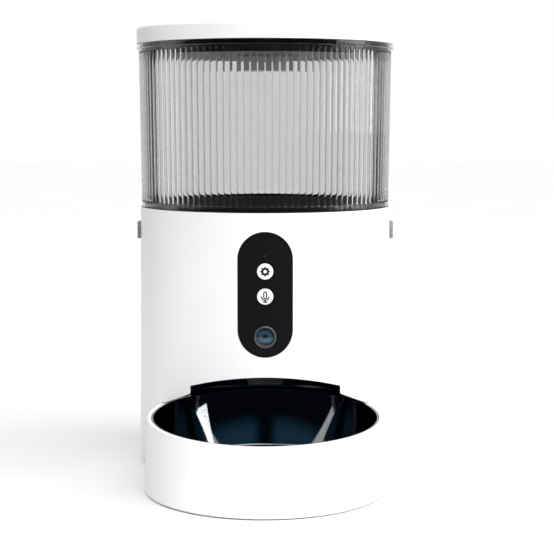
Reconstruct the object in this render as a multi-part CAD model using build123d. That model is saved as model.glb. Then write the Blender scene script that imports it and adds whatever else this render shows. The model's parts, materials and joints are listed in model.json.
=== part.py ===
from build123d import *
import os
from math import acos, atan2, cos, degrees, hypot, pi, radians, sin, sqrt, tan

# Automatic pet feeder: a round white tower with a clear hopper, a lid that lifts off, an arched
# mouth at its foot and a round bowl in a holder that pulls forward.
# Millimetres, +Z up, front towards -Y. Every piece is drawn about the tower's own upright axis and
# moved back by AXIS_Y when it is written, so that the origin is the middle of the whole footprint.

# Tower
HOUSING_TOP_R = 95.0
HOUSING_BASE_R = 97.0
HOUSING_TOP = 196.7
EDGE_FILLET = 9.0
WALL = 2.6
STAND = 0.6                      # rubber pads hold the shell this far off the surface
FLARE_START = STAND + EDGE_FILLET
BASE_PLATE_R = 83.7
BASE_PLATE_TOP = STAND + 3.0

# Bowl and its holder
BOWL_BACK = 96.0                 # holder's axis in front of the tower's axis
HOLDER_BASE_R = 86.0
HOLDER_TOP_R = 83.5
RIM_R = 81.0
RIM_Z = 52.9                     # height of the rim at the holder's axis
RIM_TILT = 2.98                  # degrees, the rim rises towards the tower
BOWL_R = 80.5                    # outside of the dish at its top edge
BOWL_TOP = -0.6                  # below the rim
STEEL = 1.0
SIDE_ARC_R = 231.6               # slow curve of the dish's side
HEEL_ARC_R = 8.0                 # quick curve into its floor
SIDE_START = 10.0                # degrees from upright at the top of the side
SIDE_END = 20.0                  # and at its foot

# Mouth in the tower's front, in front view
ARCH_Z = 80.0
ARCH_SIDE_X = 54.2
ARCH_SIDE_TOP = 71.1
ARCH_SIDE_FOOT = 65.5
FLARE_FOOT = (73.6, 55.6)
CORNER = (76.2, 55.0)
SIDE_FOOT_X = 77.8
LIP_Y = -15.0
LIP_Z = 59.8
SPOUT_SLOPE = 41.7               # degrees

# Hopper, funnel and lid
HOPPER_FOOT = 197.5
HOPPER_FOOT_R = 94.1
HOPPER_TOP_R = 95.5
HOPPER_WALL = 2.4
FLANGE_Z = 314.4
LID_Z = 318.5
LID_TOP = 330.4
LID_R = 97.0
FUNNEL_Z = 199.0
LINER_FOOT = 309.6
LINER_PLATE_TOP = 311.8
LINER_R = 90.5
COLLAR_R = 85.0
COLLAR_FOOT = 172.0
NECK_R = 50.0

# Dispenser
DRUM_R = 64.0
DRUM_INNER_R = 61.5
DRUM_FLOOR = 139.0
DRUM_FLOOR_TOP = 142.0
DRUM_TOP = 169.0
SHAFT_R = 3.0
SHAFT_BORE_R = 3.05
VANES = 6
OUTLET_NEAR_Y = 35.0
OUTLET_FAR_Y = 58.0
DUCT_HALF = 18.0
GEAR_Z = 127.5
GEAR_WIDTH = 6.0
MODULE = 1.25
DRIVE_TEETH = 48
PINION_TEETH = 12
MOTOR_Y = -MODULE * (DRIVE_TEETH + PINION_TEETH) / 2
MOTOR_SCREWS_X = (-13.5, 13.5)

# Front panel
PANEL_W = 38.9
PANEL_H = 89.0
PANEL_Z = 138.9
BUTTON_R = 5.65
SETTINGS_Z = 155.6
TALK_Z = 137.8
LIGHT_Z = 166.8
MIC_Z = 126.8
LENS_Z = 108.9
BEZEL_R = 7.8
BOARD_Y = -84.0

# Side release buttons
RELEASE_Z = 178.35
RELEASE_H = 12.3
RELEASE_W = 26.0
RELEASE_X = 97.8

# Underside
BAY_X = 51.5
BAY_FRONT = 2.6
BAY_BACK = 64.8
BAY_TOP = 38.0
CELL_X = (-34.3, 0, 34.3)
DOOR_GAP = 0.4
BASE_SCREWS = [(74, -4), (-74, -4), (64, 48), (-64, 48)]
FEET = [(70, -24), (-70, -24), (20, 75), (-20, 75)]

AXIS_Y = (BOWL_BACK + HOLDER_BASE_R - HOUSING_BASE_R) / 2

os.makedirs("parts", exist_ok=True)


def save(name, shape):
    """Write one node; a list is a group of separate solids."""
    if isinstance(shape, list):
        shape = Compound(children=[Part(solid.wrapped) for one in shape for solid in one.solids()])
    export_step(Pos(0, AXIS_Y, 0) * shape, f"parts/{name}.step")


def block(x0, x1, y0, y1, z0, z1):
    return Pos((x0 + x1) / 2, (y0 + y1) / 2, (z0 + z1) / 2) * Box(x1 - x0, y1 - y0, z1 - z0)


def rod(r, z0, z1, x=0.0, y=0.0):
    return Pos(x, y, (z0 + z1) / 2) * Cylinder(r, z1 - z0)


def ring(r_out, r_in, z0, z1):
    return rod(r_out, z0, z1) - rod(r_in, z0 - 1, z1 + 1)


def y_rod(r, x, z, y0, y1):
    return Pos(x, (y0 + y1) / 2, z) * Rot(X=90) * Cylinder(r, y1 - y0)


def front_prism(sketch, y0, y1):
    """A front-view outline, X across and Z up, made solid from y0 back to y1."""
    return extrude(Plane.XZ.offset(-y1) * sketch, amount=y1 - y0)


def turned(*edges):
    """A solid of revolution from a closed profile of radius and height."""
    return revolve(Plane.XZ * make_face(list(edges)), axis=Axis.Z)


def stadium(grow=0.0):
    return Pos(0, PANEL_Z) * Rot(Z=90) * SlotOverall(PANEL_H + 2 * grow, PANEL_W + 2 * grow)


def tower_r(z):
    """Outer radius of the housing at a height above its bottom fillet."""
    share = (z - FLARE_START) / (HOUSING_TOP - FLARE_START)
    return HOUSING_BASE_R + (HOUSING_TOP_R - HOUSING_BASE_R) * share


def tower_core(inset, z0=0.0, z1=HOUSING_TOP):
    """The housing's outer cone, drawn in by inset."""
    return Pos(0, 0, (z0 + z1) / 2) * Cone(tower_r(z0) - inset, tower_r(z1) - inset, z1 - z0)


def in_holder(shape):
    """Place something drawn about the bowl's rim centre, tilted with the rim."""
    return Pos(0, -BOWL_BACK, RIM_Z) * Rot(X=RIM_TILT) * shape


def at_bowl(shape):
    """Place something drawn about the bowl's upright axis."""
    return Pos(0, -BOWL_BACK, 0) * shape


def holder_r(z):
    """Outer radius of the bowl's holder at a height."""
    return HOLDER_BASE_R - (HOLDER_BASE_R - HOLDER_TOP_R) * z / RIM_Z


def holder_cone(grow, z0, z1):
    """The holder's outer cone, made larger by grow."""
    cone = Cone(holder_r(z0) + grow, holder_r(z1) + grow, z1 - z0)
    return at_bowl(Pos(0, 0, (z0 + z1) / 2) * cone)


def arch_face(half, top, side_top, foot):
    """Front view of the mouth's arch between two upright sides."""
    left, right = (-half, side_top), (half, side_top)
    return make_face([
        Line((-half, foot), left),
        ThreePointArc(left, (0, top), right),
        Line(right, (half, foot)),
        Line((half, foot), (-half, foot)),
    ])


def lower_face(grow=0.0):
    """Front view of the mouth below the arch, where it opens out over the bowl's rim."""
    half = [
        (ARCH_SIDE_X + grow, ARCH_SIDE_FOOT + grow),
        (FLARE_FOOT[0] + grow, FLARE_FOOT[1] + grow),
        (CORNER[0] + grow, CORNER[1] + grow),
        (SIDE_FOOT_X + grow, 0),
    ]
    other = [(-x, z) for x, z in reversed(half)]
    return make_face(Polyline(*half, *other, close=True))


def housing():
    outer_mid = (88 + EDGE_FILLET * sin(pi / 4), FLARE_START - EDGE_FILLET * cos(pi / 4))
    inner = EDGE_FILLET - WALL
    inner_mid = (88 + inner * sin(pi / 4), FLARE_START - inner * cos(pi / 4))
    lip = BASE_PLATE_R + 0.3
    shell = turned(
        Line((lip, STAND), (88, STAND)),
        ThreePointArc((88, STAND), outer_mid, (HOUSING_BASE_R, FLARE_START)),
        Line((HOUSING_BASE_R, FLARE_START), (HOUSING_TOP_R, HOUSING_TOP)),
        Line((HOUSING_TOP_R, HOUSING_TOP), (HOUSING_TOP_R - WALL, HOUSING_TOP)),
        Line((HOUSING_TOP_R - WALL, HOUSING_TOP), (HOUSING_BASE_R - WALL, FLARE_START)),
        ThreePointArc((HOUSING_BASE_R - WALL, FLARE_START), inner_mid, (88, STAND + WALL)),
        Line((88, STAND + WALL), (lip, STAND + WALL)),
        Line((lip, STAND + WALL), (lip, STAND)),
    )
    shell = shell + screw_posts() + drum_lugs()
    arch = arch_face(ARCH_SIDE_X, ARCH_Z, ARCH_SIDE_TOP, ARCH_SIDE_FOOT - 2)
    shell = shell - front_prism(arch, -110, -52)
    shell = shell - front_prism(lower_face(), -110, -52)
    shell = shell - holder_cone(0.35, -1, CORNER[1])
    shell = shell - front_prism(stadium(0.25), -110, -80)
    for side in (1, -1):
        shell = shell - release_prism(0.35, min(side * 80, side * 110), max(side * 80, side * 110))
    shell = shell - y_rod(4.4, 0, 22, 85, 110)
    for x, z in speaker_holes():
        shell = shell - y_rod(1.3, x, z, 85, 110)
    return shell


def screw_posts():
    """Posts that take the base screws, each with a web to the wall."""
    posts = None
    for x, y in BASE_SCREWS:
        post = rod(4, BASE_PLATE_TOP, 30, x, y) - rod(1.3, 0, 20, x, y)
        web = Rot(Z=degrees(atan2(y, x))) * block(hypot(x, y) + 2, 97, -1, 1, 6, 30)
        post = post + (web & tower_core(1.0, 0, 60))
        posts = post if posts is None else posts + post
    return posts


def lug_angles():
    return [40, 140, 220, 320]


def drum_lugs():
    """Blocks on the inner wall that carry the dispenser's flange."""
    lugs = None
    for angle in lug_angles():
        lug = Rot(Z=angle) * (block(80, 97, -5, 5, 156, 166.5) - rod(1.3, 150, 170, 85.5))
        lug = lug & tower_core(1.0, 140, 180)
        lugs = lug if lugs is None else lugs + lug
    return lugs


def speaker_holes():
    """Hexagonal pattern of small holes in the rear wall."""
    pitch = 5.0
    holes = []
    for row in range(-2, 3):
        count = 5 - abs(row)
        for i in range(count):
            holes.append(((i - (count - 1) / 2) * pitch, 145 + row * pitch * sqrt(3) / 2))
    return holes


def base_plate():
    plate = rod(BASE_PLATE_R, STAND, BASE_PLATE_TOP)
    walls = block(-BAY_X - 2, BAY_X + 2, BAY_FRONT - 2, BAY_BACK + 2, BASE_PLATE_TOP, BAY_TOP + 2)
    plate = plate + walls - block(-BAY_X, BAY_X, BAY_FRONT, BAY_BACK, BASE_PLATE_TOP - 1, BAY_TOP)
    plate = plate - block(-BAY_X, BAY_X, BAY_FRONT, BAY_BACK, 0, BASE_PLATE_TOP)
    plate = plate - at_bowl(rod(HOLDER_BASE_R + 1.4, 0, 60))
    for x, y in BASE_SCREWS:
        plate = plate - rod(1.7, 0, 6, x, y) - rod(3.3, 0, STAND + 1.6, x, y)
    return plate


def base_screws():
    screws = []
    for x, y in BASE_SCREWS:
        head = rod(3.0, STAND + 0.2, STAND + 1.6, x, y) - block(x - 2, x + 2, y - 0.4, y + 0.4, 0, 2)
        screws.append(head + rod(1.25, STAND + 1.5, 18, x, y))
    return screws


def battery_door():
    inset = DOOR_GAP
    door = block(-BAY_X + inset, BAY_X - inset, BAY_FRONT + inset, BAY_BACK - inset, STAND, 3.4)
    door = door - block(-9, 9, BAY_BACK - 12, BAY_BACK - 6, 0, STAND + 0.8)
    ribs = None
    for x in CELL_X:
        rib = block(x - 1, x + 1, BAY_FRONT + 4, BAY_BACK - 4, 3.4, 4.6)
        ribs = rib if ribs is None else ribs + rib
    return door + ribs


def battery_contacts():
    """Plates at the bay's front wall and coil springs at its back wall, for three cells."""
    contacts = []
    for x in CELL_X:
        plate = block(x - 8, x + 8, BAY_FRONT, BAY_FRONT + 0.5, 12, 30)
        contacts.append(plate + y_rod(3.5, x, 21, BAY_FRONT, BAY_FRONT + 1.5))
        back = block(x - 8, x + 8, BAY_BACK - 0.5, BAY_BACK, 12, 30)
        coil = None
        for turn in range(4):
            loop = Pos(x, BAY_BACK - 1.3 - 1.5 * turn, 21) * Rot(X=90) * Torus(6.5 - turn, 0.8)
            coil = loop if coil is None else coil + loop
        contacts.append(back + coil)
    return contacts


def rubber_feet():
    return [rod(5.0, 0, STAND, x, y) for x, y in FEET]


def mouth_liner():
    """Dark compartment behind the mouth: a pocket for the holder, a tunnel and a sloped sill."""
    wall = 2.0
    pocket_r = HOLDER_BASE_R + 1.4
    pocket = at_bowl(rod(pocket_r, 0, 100))
    outer = at_bowl(rod(pocket_r + wall, BASE_PLATE_TOP + 0.2, 100))
    outer = front_prism(lower_face(wall), -97, -5) & outer
    inner = front_prism(lower_face(), -100, -5) & pocket
    outer = outer + tunnel(wall)
    liner = outer - inner - tunnel(0.0)
    liner = liner + sill()
    inside = rod(90.4, BASE_PLATE_TOP + 0.2, FLARE_START) + tower_core(WALL + 0.1, FLARE_START, 120)
    return (liner & inside) - duct(1.8, DRUM_FLOOR)


def tunnel(grow):
    """The arched passage from the mouth back to the spout; it narrows a little to the rear."""
    rear_half = 50.4
    faces = []
    for y, half in ((-97.0, ARCH_SIDE_X + 0.7), (-4.0 + grow, rear_half - 0.6)):
        face = arch_face(half + grow, ARCH_Z + grow, ARCH_SIDE_TOP + grow, 57.5 - grow / 2)
        faces.append(Plane.XZ.offset(-y) * face)
    return loft(faces)


def sill():
    """Sloped floor behind the straight lip, and the flat ledge in front of it."""
    rise = tan(radians(SPOUT_SLOPE))
    deep = 11.5
    side = Plane.YZ * make_face(Polyline(
        (LIP_Y, LIP_Z - 1.4),
        (LIP_Y, LIP_Z),
        (LIP_Y + deep, LIP_Z + deep * rise),
        (LIP_Y + deep, LIP_Z + deep * rise - 2.4),
        (LIP_Y + 2.0, LIP_Z - 1.4),
        close=True,
    ))
    slope = extrude(side, amount=50.2, both=True)
    ledge = block(-50.2, 50.2, -32, LIP_Y + 2, LIP_Z - 1.4, LIP_Z)
    ledge = ledge - at_bowl(rod(HOLDER_TOP_R + 0.9, 40, 70))
    back = block(-52, 52, LIP_Y + deep - 1.6, LIP_Y + deep, LIP_Z + 8, ARCH_Z + 1)
    back = back - block(-DUCT_HALF - 2, DUCT_HALF + 2, -30, 30, LIP_Z - 10, ARCH_Z + 5)
    notch = block(-DUCT_HALF - 2, DUCT_HALF + 2, LIP_Y + 7.0, 10, 50, 100)
    return slope + ledge + back - notch


def duct(grow, top):
    """Side view of the chute's passage, made solid; grow adds its wall."""
    rise = tan(radians(SPOUT_SLOPE))
    y0 = LIP_Y + 8.0
    floor_z = LIP_Z + 0.6 + 8.0 * rise
    y1 = OUTLET_FAR_Y + grow
    side = Plane.YZ * make_face(Polyline(
        (y0, floor_z - grow),
        (y0, ARCH_Z - 3 + grow),
        (OUTLET_NEAR_Y - grow - 2, 118 + grow),
        (OUTLET_NEAR_Y - grow, 124),
        (OUTLET_NEAR_Y - grow, top),
        (y1, top),
        (y1, floor_z - grow + (y1 - y0) * rise),
        close=True,
    ))
    return extrude(side, amount=DUCT_HALF + grow, both=True)


def chute():
    """Grey trough that brings food from the drum's outlet down to the mouth."""
    wall = 1.6
    body = duct(wall, DRUM_FLOOR - 0.1) - duct(0.0, DRUM_FLOOR + 5)
    body = body - block(-DUCT_HALF, DUCT_HALF, LIP_Y + 7, LIP_Y + 12, LIP_Z + 8.2, ARCH_Z - 3)
    tongue_plan = make_face(Polyline((-12.5, 0), (-16.5, 10.6), (16.5, 10.6), (12.5, 0), close=True))
    tongue = extrude(tongue_plan, amount=0.8)
    tongue = Pos(0, LIP_Y, LIP_Z + 0.05) * Rot(X=SPOUT_SLOPE) * tongue
    return body + tongue


def dispenser_drum():
    drum = ring(DRUM_R, DRUM_INNER_R, DRUM_FLOOR, DRUM_TOP) + rod(DRUM_R, DRUM_FLOOR, DRUM_FLOOR_TOP)
    flange = ring(91.6, DRUM_R - 1, 166.7, DRUM_TOP)
    flange = flange - block(-26, 26, -100, -76, 160, 175)
    drum = drum + (flange & tower_core(WALL + 0.3, 150, 175))
    drum = drum - rod(5.5, 130, 145)
    outlet = block(-DUCT_HALF, DUCT_HALF, OUTLET_NEAR_Y, OUTLET_FAR_Y, 130, 145)
    drum = drum - (outlet & rod(DRUM_INNER_R, 120, 150))
    for angle in lug_angles():
        drum = drum - Rot(Z=angle) * rod(1.7, 160, 175, 85.5)
    return drum


def drum_cover():
    """Ring over the drum's edge, with a roof above the outlet so that only full pockets empty."""
    cover = ring(DRUM_R, NECK_R - 2, DRUM_TOP, DRUM_TOP + 2)
    roof = block(-24, 24, 30, 56, DRUM_TOP, DRUM_TOP + 2) & rod(NECK_R, 160, 180)
    return cover + roof - rod(12, 160, 180)


def drum_screws():
    screws = []
    for angle in lug_angles():
        head = rod(2.9, DRUM_TOP, DRUM_TOP + 1.8, 85.5) - block(83, 88, -0.4, 0.4, DRUM_TOP + 1, 180)
        screws.append(Rot(Z=angle) * (head + rod(1.25, 158, DRUM_TOP + 0.5, 85.5)))
    return screws


def rotor():
    body = rod(11, 142.8, 161)
    for i in range(VANES):
        body = body + Rot(Z=i * 360 / VANES + 15) * block(10, 52, -1.1, 1.1, 142.8, 161)
    return body - rod(SHAFT_BORE_R, 130, 180)


def rotor_paddles():
    """Soft wipers at the ends of the vanes."""
    return [
        Rot(Z=i * 360 / VANES + 15) * block(52, DRUM_INNER_R - 0.4, -0.7, 0.7, 142.6, 166)
        for i in range(VANES)
    ]


def agitator():
    """Three bent fingers above the rotor that keep food from bridging."""
    body = rod(9, 161, 172)
    for i in range(3):
        arm = block(6, 26, -2, 2, 162, 166)
        finger = Cone(2.4, 1.4, 22)
        body = body + Rot(Z=i * 120 + 40) * (arm + Pos(24, 0, 175) * finger)
    return body + Pos(0, 0, 176) * Cone(9, 2.5, 8) - rod(SHAFT_BORE_R, 150, 168.1)


def rotor_shaft():
    return rod(SHAFT_R, GEAR_Z - 2.5, 168)


def rotor_bearing():
    bush = rod(5.5, DRUM_FLOOR, DRUM_FLOOR_TOP) + rod(7, DRUM_FLOOR - 2, DRUM_FLOOR)
    return bush - rod(SHAFT_BORE_R, 130, 150)


def gear(teeth, bore, thinning):
    """Involute spur gear, 20 degree pressure angle; thinning gives the pair its backlash."""
    pitch_r = MODULE * teeth / 2
    base_r = pitch_r * cos(radians(20))
    root_r = pitch_r - 1.2 * MODULE
    tip_r = pitch_r + 0.95 * MODULE
    start_r = max(base_r, root_r)

    def involute(angle):
        return tan(angle) - angle

    def half_angle(r):
        at_pitch = pi / (2 * teeth) - thinning / (2 * pitch_r)
        return at_pitch + involute(radians(20)) - involute(acos(min(1.0, base_r / r)))

    points = []
    steps = 5
    radii = [start_r + (tip_r - start_r) * i / (steps - 1) for i in range(steps)]
    for tooth in range(teeth):
        middle = 2 * pi * tooth / teeth
        flank = [(r, half_angle(r)) for r in radii]
        if root_r < start_r:
            flank.insert(0, (root_r, half_angle(start_r)))
        points += [(r * cos(middle - a), r * sin(middle - a)) for r, a in flank]
        points += [(r * cos(middle + a), r * sin(middle + a)) for r, a in reversed(flank)]
    body = extrude(make_face(Polyline(*points, close=True)), amount=GEAR_WIDTH)
    return Pos(0, 0, GEAR_Z) * body - rod(bore, GEAR_Z - 1, GEAR_Z + GEAR_WIDTH + 1)


def drive_gear():
    body = Rot(Z=-90) * gear(DRIVE_TEETH, SHAFT_BORE_R, 0.12)
    for i in range(6):
        body = body - Rot(Z=i * 60) * rod(6, GEAR_Z - 1, GEAR_Z + GEAR_WIDTH + 1, 17.5)
    return body


def motor_pinion():
    """Brass pinion pressed on the gearmotor's output shaft, a gap facing the drive gear."""
    body = Rot(Z=90 + 180 / PINION_TEETH) * gear(PINION_TEETH, 1.5, 0.12)
    shaft = rod(1.5, 121.5, GEAR_Z + GEAR_WIDTH + 1)
    return Pos(0, MOTOR_Y, 0) * (body + shaft)


def gearmotor():
    body = rod(17, 104, 121) + rod(13.5, 87, 104) + rod(4, 121, 123) - rod(1.6, 115, 125)
    for x in (-5, 5):
        body = body + block(x - 1.5, x + 1.5, -0.4, 0.4, 83.5, 87)
    for x in MOTOR_SCREWS_X:
        body = body - rod(1.3, 115, 122, x)
    return Pos(0, MOTOR_Y, 0) * body


def motor_bracket():
    """Folded steel plate that hangs the gearmotor from the drum's floor."""
    sheet = 1.4
    back, front = MOTOR_Y - 17, MOTOR_Y - 5
    plate = block(-22, 22, back, MOTOR_Y + 10, 121, 121 + sheet) - rod(4.2, 110, 130, 0, MOTOR_Y)
    for x in MOTOR_SCREWS_X:
        plate = plate - rod(1.6, 110, 130, x, MOTOR_Y)
    for side in (-1, 1):
        leg = block(side * 22 - 0.7, side * 22 + 0.7, back, front, 121, DRUM_FLOOR)
        foot = block(side * 24 - 3, side * 24 + 3, back, front, DRUM_FLOOR - sheet, DRUM_FLOOR)
        plate = plate + leg + foot
    return plate


def motor_screws():
    screws = []
    for x in MOTOR_SCREWS_X:
        head = rod(2.4, 122.4, 124, x, MOTOR_Y)
        head = head - block(x - 2, x + 2, MOTOR_Y - 0.3, MOTOR_Y + 0.3, 123.4, 126)
        screws.append(head + rod(1.25, 117, 122.6, x, MOTOR_Y))
    return screws


def food_sensors():
    """Infrared emitter and receiver on the chute's two sides."""
    outside = DUCT_HALF + 1.6
    pair = []
    for side in (-1, 1):
        near, far = side * outside, side * (outside + 5)
        body = block(min(near, far), max(near, far), 14, 24, 94, 102)
        pair.append(body)
    return pair


def hopper():
    foot_in = HOPPER_FOOT_R - HOPPER_WALL
    top_in = HOPPER_TOP_R - HOPPER_WALL
    return turned(Polyline(
        (HOPPER_FOOT_R, HOPPER_FOOT),
        (HOPPER_TOP_R, FLANGE_Z),
        (LID_R, FLANGE_Z),
        (LID_R, LID_Z - 0.1),
        (top_in, LID_Z - 0.1),
        (foot_in, HOPPER_FOOT),
        close=True,
    ))


def funnel():
    """Dark floor of the hopper: a rim, a cone down to the neck and a locating collar."""
    rim_r = HOPPER_FOOT_R - HOPPER_WALL - 0.05
    cone_foot = 178.0
    body = turned(Polyline(
        (rim_r, HOPPER_FOOT),
        (rim_r, FUNNEL_Z + 2),
        (rim_r - 1.8, FUNNEL_Z + 2),
        (rim_r - 1.8, FUNNEL_Z),
        (COLLAR_R - 2, FUNNEL_Z),
        (NECK_R - 2, cone_foot + 1),
        (NECK_R - 2, COLLAR_FOOT),
        (NECK_R, COLLAR_FOOT),
        (NECK_R, cone_foot),
        (COLLAR_R - 2.4, FUNNEL_Z - 2.6),
        (COLLAR_R - 2.4, COLLAR_FOOT),
        (COLLAR_R, COLLAR_FOOT),
        (COLLAR_R, HOPPER_FOOT),
        close=True,
    ))
    slot_top = RELEASE_Z + RELEASE_H / 2 + 2
    body = body - block(-100, 100, -8.5, 8.5, COLLAR_FOOT - 1, slot_top)
    return body + ring(NECK_R, NECK_R - 2, COLLAR_FOOT, cone_foot)


def hopper_gasket():
    return ring(94.2, 87.0, HOUSING_TOP, HOPPER_FOOT - 0.3)


def lid():
    edge = 2.0
    return turned(
        Line((LID_R, LID_Z), (LID_R, LID_TOP - edge)),
        RadiusArc((LID_R, LID_TOP - edge), (LID_R - edge, LID_TOP), -edge),
        Line((LID_R - edge, LID_TOP), (0, LID_TOP)),
        Line((0, LID_TOP), (0, LID_TOP - 2.4)),
        Line((0, LID_TOP - 2.4), (LID_R - 2.4, LID_TOP - 2.4)),
        Line((LID_R - 2.4, LID_TOP - 2.4), (LID_R - 2.4, LID_Z)),
        Line((LID_R - 2.4, LID_Z), (LID_R, LID_Z)),
    )


def lid_liner():
    """Dark plug on the lid's underside."""
    plug = rod(LINER_R, LINER_FOOT, LINER_PLATE_TOP)
    plug = plug + ring(LINER_R, LINER_R - 2.2, LINER_FOOT, LID_TOP - 2.4)
    return plug - block(-22.5, 22.5, -16.5, 16.5, LINER_FOOT - 1, LINER_PLATE_TOP + 1)


def lid_seal():
    return ring(92.4, LINER_R, 315.4, 317.4)


def desiccant_box():
    """Vented box for a drying sachet, dropped into a hole in the lid's liner and held by its rim."""
    top = LINER_PLATE_TOP + 1.6
    box = block(-22, 22, -16, 16, 299, top)
    box = fillet(box.edges().filter_by(Axis.Z), 3)
    box = box + block(-24, 24, -18, 18, LINER_PLATE_TOP, top)
    box = box - block(-20.4, 20.4, -14.4, 14.4, 300.4, top + 1)
    for i in range(7):
        box = box - block(-18 + 5.4 * i, -15 + 5.4 * i, -12, 12, 298, 302)
    return box


def release_prism(grow, x0, x1):
    """Side view of a release button, made solid along X."""
    plan = RectangleRounded(RELEASE_W + 2 * grow, RELEASE_H + 2 * grow, 4 + grow)
    return extrude(Plane.YZ.offset(x0) * Pos(0, RELEASE_Z) * plan, amount=x1 - x0)


def release_button():
    """Right-hand button: cap, retaining flange, stem through the collar's slot and nose."""
    cap = release_prism(0.0, 88.2, RELEASE_X + 5) & rod(RELEASE_X, 150, 200)
    flange = block(88.2, 90.6, -14.8, 14.8, RELEASE_Z - 8, RELEASE_Z + 8)
    stem = block(80.5, 88.4, -6.5, 6.5, RELEASE_Z - 4, RELEASE_Z + 4)
    nose = block(77.5, 80.6, -6.5, 6.5, RELEASE_Z - 4, RELEASE_Z + 4)
    return cap + flange + stem + nose


def front_panel():
    inside = WALL + 0.1
    skin = front_prism(stadium(), -110, -80) & (tower_core(0.0, 60, 190) - tower_core(inside, 50, 195))
    flange = front_prism(stadium(2.0), -110, -75)
    flange = flange & (tower_core(inside, 60, 190) - tower_core(inside + 1.5, 50, 195))
    panel = skin + flange
    for z in (SETTINGS_Z, TALK_Z):
        panel = panel - y_rod(BUTTON_R + 0.2, 0, z, -110, -70)
    panel = panel - y_rod(BEZEL_R, 0, LENS_Z, -110, -70)
    return panel - y_rod(0.8, 0, LIGHT_Z, -110, -70) - y_rod(0.6, 0, MIC_Z, -110, -70)


def push_button(z):
    """Round button with a slightly domed face and a retaining flange."""
    face_y = -tower_r(z) - 0.25
    body = y_rod(BUTTON_R, 0, z, face_y, -88.4)
    body = fillet(body.edges().sort_by(Axis.Y)[0], 0.45)
    return body + y_rod(BUTTON_R + 1.3, 0, z, -90.0, -88.4)


def button_board():
    board = block(-13, 13, BOARD_Y, BOARD_Y + 1.6, 98, COLLAR_FOOT - 1)
    for x in (-10.5, 10.5):
        board = board - y_rod(1.2, x, COLLAR_FOOT - 5, -90, -80)
    return board


def tact_switches():
    switches = []
    for z in (SETTINGS_Z, TALK_Z):
        switch = block(-3, 3, BOARD_Y - 2.2, BOARD_Y, z - 3, z + 3)
        switches.append(switch + y_rod(1.7, 0, z, -87.3, -85))
    return switches


def status_light():
    pipe = y_rod(0.75, 0, LIGHT_Z, -tower_r(LIGHT_Z), -86.2)
    return pipe + block(-1.6, 1.6, -86.2, BOARD_Y, LIGHT_Z - 1.6, LIGHT_Z + 1.6)


def microphone():
    return y_rod(2.4, 0, MIC_Z, -87.2, BOARD_Y)


def camera_bezel():
    bezel = y_rod(BEZEL_R, 0, LENS_Z, -tower_r(LENS_Z) - 0.3, -92.4)
    bezel = fillet(bezel.edges().sort_by(Axis.Y)[0], 0.25)
    return bezel - y_rod(BEZEL_R - 1.0, 0, LENS_Z, -110, -90)


def camera_window():
    front = -tower_r(LENS_Z) - 0.2
    dome = Pos(0, front + 40, LENS_Z) * Sphere(40)
    return y_rod(BEZEL_R - 1.0, 0, LENS_Z, -97, -94.6) & dome


def camera_barrel():
    """Lens holder with a stepped black throat."""
    barrel = y_rod(BEZEL_R - 1.1, 0, LENS_Z, -94.6, -86.4)
    for r, back in ((5.6, -93.8), (4.7, -92.6), (3.8, -91.4), (2.9, -88.0)):
        barrel = barrel - y_rod(r, 0, LENS_Z, -100, back)
    return barrel


def camera_lens():
    dome = Pos(0, -91.2 + 4.0, LENS_Z) * Sphere(4.0)
    return y_rod(2.85, 0, LENS_Z, -92, -88.0) & dome


def camera_sensor():
    return block(-8, 8, -86.4, BOARD_Y, LENS_Z - 8, LENS_Z + 8)


def main_board():
    board = block(-40, 40, 76, 77.6, 60, 124)
    for x0, x1, z0, z1, high in ((-8, 8, 95, 111, 1.2), (-30, -18, 70, 92, 2.5), (20, 34, 66, 80, 9)):
        board = board + block(x0, x1, 77.6, 77.6 + high, z0, z1)
    return board + block(-36, -22, 77.6, 83, 112, 118)


def signal_ribbon():
    """Flat cable that follows the inner wall from the button board to the main board."""
    strip = ring(88.6, 88.0, 106, 116)
    return strip & block(16, 100, -90, 74, 100, 120)


def speaker():
    basket = y_rod(18, 0, 145, 80, 85) + y_rod(12, 0, 145, 76, 80)
    return basket - y_rod(15.5, 0, 145, 83.4, 90) + y_rod(6, 0, 145, 83, 84.4)


def power_jack():
    jack = block(-5, 5, 78, 91.5, 16, 28) + y_rod(4.2, 0, 22, 91, 96)
    return jack - y_rod(2.9, 0, 22, 84, 100) + y_rod(0.9, 0, 22, 84, 94)


def bowl_holder():
    """Round drawer that the dish stands in; its back is cut lower where it goes under the arch."""
    top = 62.0
    foot = 1.5
    bore = RIM_R + 0.6
    floor_z = STAND + 2
    body = at_bowl(turned(
        Line((0, STAND), (HOLDER_BASE_R - foot, STAND)),
        RadiusArc((HOLDER_BASE_R - foot, STAND), (HOLDER_BASE_R, STAND + foot), -foot),
        Line((HOLDER_BASE_R, STAND + foot), (holder_r(top), top)),
        Line((holder_r(top), top), (RIM_R, top)),
        Line((RIM_R, top), (bore, floor_z)),
        Line((bore, floor_z), (0, floor_z)),
        Line((0, floor_z), (0, STAND)),
    ))
    dish_foot = heel_centre()[1] - HEEL_ARC_R - STEEL
    seat = in_holder(ring(46, 43, dish_foot - 12, dish_foot - 0.02))
    body = body + (seat & at_bowl(rod(60, floor_z - 1, RIM_Z)))
    body = body - in_holder(block(-120, 120, -120, 120, 0, 30))
    drop = in_holder(block(-56, 56, 30, 120, -2.0, 20))
    return body - drop


def holder_feet():
    feet = []
    for angle in (30, 150, 210, 330):
        feet.append(at_bowl(Rot(Z=angle) * rod(5, 0, STAND, 74)))
    return feet


def on_arc(centre, r, angle):
    """Point of a dish profile where its side leans by this angle from upright."""
    return (centre[0] + r * cos(radians(angle)), centre[1] - r * sin(radians(angle)))


def side_centre():
    start = radians(SIDE_START)
    return (BOWL_R - STEEL - SIDE_ARC_R * cos(start), BOWL_TOP + SIDE_ARC_R * sin(start))


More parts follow.
